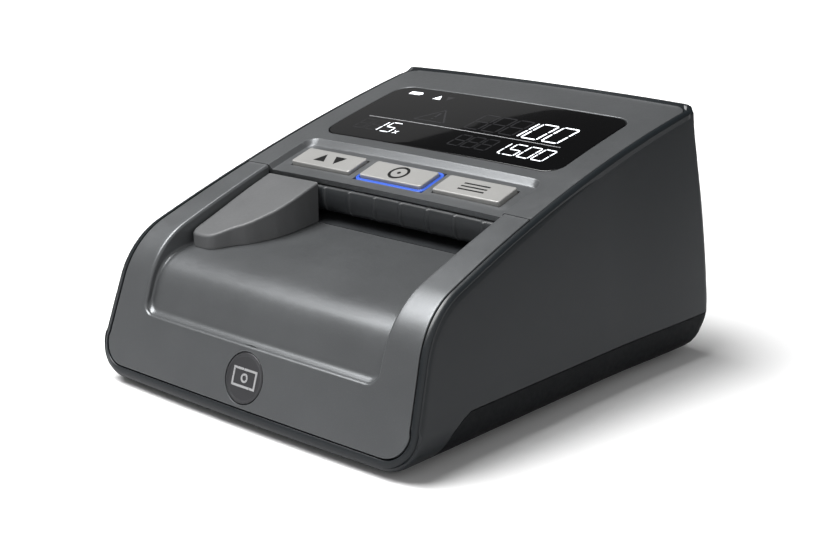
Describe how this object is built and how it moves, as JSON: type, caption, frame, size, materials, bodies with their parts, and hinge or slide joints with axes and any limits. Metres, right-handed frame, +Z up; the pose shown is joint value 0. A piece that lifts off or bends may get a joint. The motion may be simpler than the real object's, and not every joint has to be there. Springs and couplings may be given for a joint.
{
  "type": "banknote counting machine",
  "caption": "Desktop banknote counter and checker with a sloped display cover hinged at the back, a key row, a note tray with guide and a driven roller transport.",
  "frame": {"origin": "on the table, under the middle of the machine", "axes": "+Z up, +X right seen from the front, +Y towards the back"},
  "size_m": [0.1246, 0.1375, 0.0757],
  "materials": {
    "housing_dark": "fine satin texture",
    "base_black": "matte texture",
    "painted_grey": "satin metallic grey paint",
    "guide_grey": "matte",
    "badge_disc": "satin",
    "display_gloss": "high gloss",
    "key_silver": "satin silver paint",
    "light_blue": "translucent, lit from below",
    "keypad_rubber": "silicone",
    "board_green": "solder mask",
    "visor_dark": "satin",
    "sensor_black": "gloss",
    "steel": "ground",
    "steel_brushed": "zinc plated sheet",
    "battery_blue": "shrink wrap",
    "nylon": "natural nylon",
    "brass": "machined",
    "bronze": "sintered bronze",
    "cable_white": "flat cable",
    "foot_rubber": "matte",
    "roller_rubber": "matte"
  },
  "bodies": {
    "chassis": {"main_housing": "housing_dark", "base_housing": "base_black", "lower_front_cover": "painted_grey", "badge_disc": "badge_disc", "note_guide": "guide_grey", "main_board": "board_green", "lower_guide_plate": "visor_dark", "image_sensor": "sensor_black", "magnetic_head": "steel", "hinge_pin_left": "steel", "hinge_pin_right": "steel", "battery_pack": "battery_blue", "idler_pin": "steel", "drive_motor": "steel_brushed", "side_frame_left": "steel_brushed", "side_frame_right": "steel_brushed", "sensor_cable": "cable_white", "power_jack": "sensor_black", "data_port": "steel_brushed", "foot_1": "foot_rubber", "housing_screw_1": "steel", "foot_2": "foot_rubber", "housing_screw_2": "steel", "foot_3": "foot_rubber", "housing_screw_3": "steel", "foot_4": "foot_rubber", "housing_screw_4": "steel", "bearing_feed_left": "bronze", "bearing_feed_right": "bronze", "bearing_exit_left": "bronze", "bearing_exit_right": "bronze"},
    "upper_cover": {"upper_cover": "painted_grey", "display_window": "display_gloss", "display_module": "sensor_black", "key_board": "board_green", "keypad_mat": "keypad_rubber", "light_guide": "light_blue", "visor": "visor_dark", "upper_guide_plate": "visor_dark", "upper_image_sensor": "sensor_black", "pinch_spring_feed": "steel", "pinch_spring_exit": "steel"},
    "arrow_key": {"arrow_key": "key_silver"},
    "power_key": {"power_key": "key_silver"},
    "function_key": {"function_key": "key_silver"},
    "feed_shaft": {"feed_shaft": "steel", "feed_roller_left": "roller_rubber", "feed_roller_right": "roller_rubber", "feed_gear": "nylon"},
    "exit_shaft": {"exit_shaft": "steel", "exit_roller_left": "roller_rubber", "exit_roller_right": "roller_rubber", "exit_gear": "nylon"},
    "idler_gear": {"idler_gear": "nylon"},
    "motor_pinion": {"motor_pinion": "brass"},
    "pinch_feed": {"pinch_feed_roller": "roller_rubber"},
    "pinch_exit": {"pinch_exit_roller": "roller_rubber"},
    "battery_door": {"battery_door": "base_black"}
  },
  "joints": [
    {"name": "cover_hinge", "type": "hinge", "parent": "chassis", "child": "upper_cover", "pos_m": [0, 0.05975, 0.073], "axis": [-1, 0, 0], "range_deg": [0, 50]},
    {"name": "arrow_key_rock", "type": "hinge", "parent": "upper_cover", "child": "arrow_key", "pos_m": [-0.02802, -0.00492, 0.05736], "axis": [0, 0.9562, 0.2928], "range_deg": [-2, 2], "stiffness_Nm_per_rad": 0.05},
    {"name": "power_key_press", "type": "slide", "parent": "upper_cover", "child": "power_key", "axis": [0, 0.2928, -0.9562], "range_m": [0, 0.0008], "stiffness_N_per_m": 600},
    {"name": "function_key_press", "type": "slide", "parent": "upper_cover", "child": "function_key", "axis": [0, 0.2928, -0.9562], "range_m": [0, 0.0008], "stiffness_N_per_m": 600},
    {"name": "feed_shaft_spin", "type": "hinge", "parent": "chassis", "child": "feed_shaft", "pos_m": [0, 0.00675, 0.03845], "axis": [1, 0, 0], "continuous": true},
    {"name": "exit_shaft_spin", "type": "hinge", "parent": "chassis", "child": "exit_shaft", "pos_m": [0, 0.04675, 0.04245], "axis": [1, 0, 0], "continuous": true},
    {"name": "idler_spin", "type": "hinge", "parent": "chassis", "child": "idler_gear", "pos_m": [0, 0.02689, 0.03903], "axis": [1, 0, 0], "continuous": true},
    {"name": "motor_spin", "type": "hinge", "parent": "chassis", "child": "motor_pinion", "pos_m": [0, 0.02009, 0.02221], "axis": [1, 0, 0], "continuous": true},
    {"name": "pinch_feed_spin", "type": "hinge", "parent": "upper_cover", "child": "pinch_feed", "pos_m": [0, 0.00675, 0.05025], "axis": [1, 0, 0], "continuous": true},
    {"name": "pinch_exit_spin", "type": "hinge", "parent": "upper_cover", "child": "pinch_exit", "pos_m": [0, 0.04675, 0.05425], "axis": [1, 0, 0], "continuous": true},
    {"name": "battery_door_slide", "type": "slide", "parent": "chassis", "child": "battery_door", "axis": [0, -1, 0], "range_m": [0, 0.005]}
  ],
  "couplings": [
    {"joint": "idler_spin", "follows": "feed_shaft_spin", "ratio": -0.66667},
    {"joint": "exit_shaft_spin", "follows": "feed_shaft_spin", "ratio": 1},
    {"joint": "motor_spin", "follows": "feed_shaft_spin", "ratio": 1.3333},
    {"joint": "pinch_feed_spin", "follows": "feed_shaft_spin", "ratio": -1.5556},
    {"joint": "pinch_exit_spin", "follows": "feed_shaft_spin", "ratio": -1.5556}
  ]
}
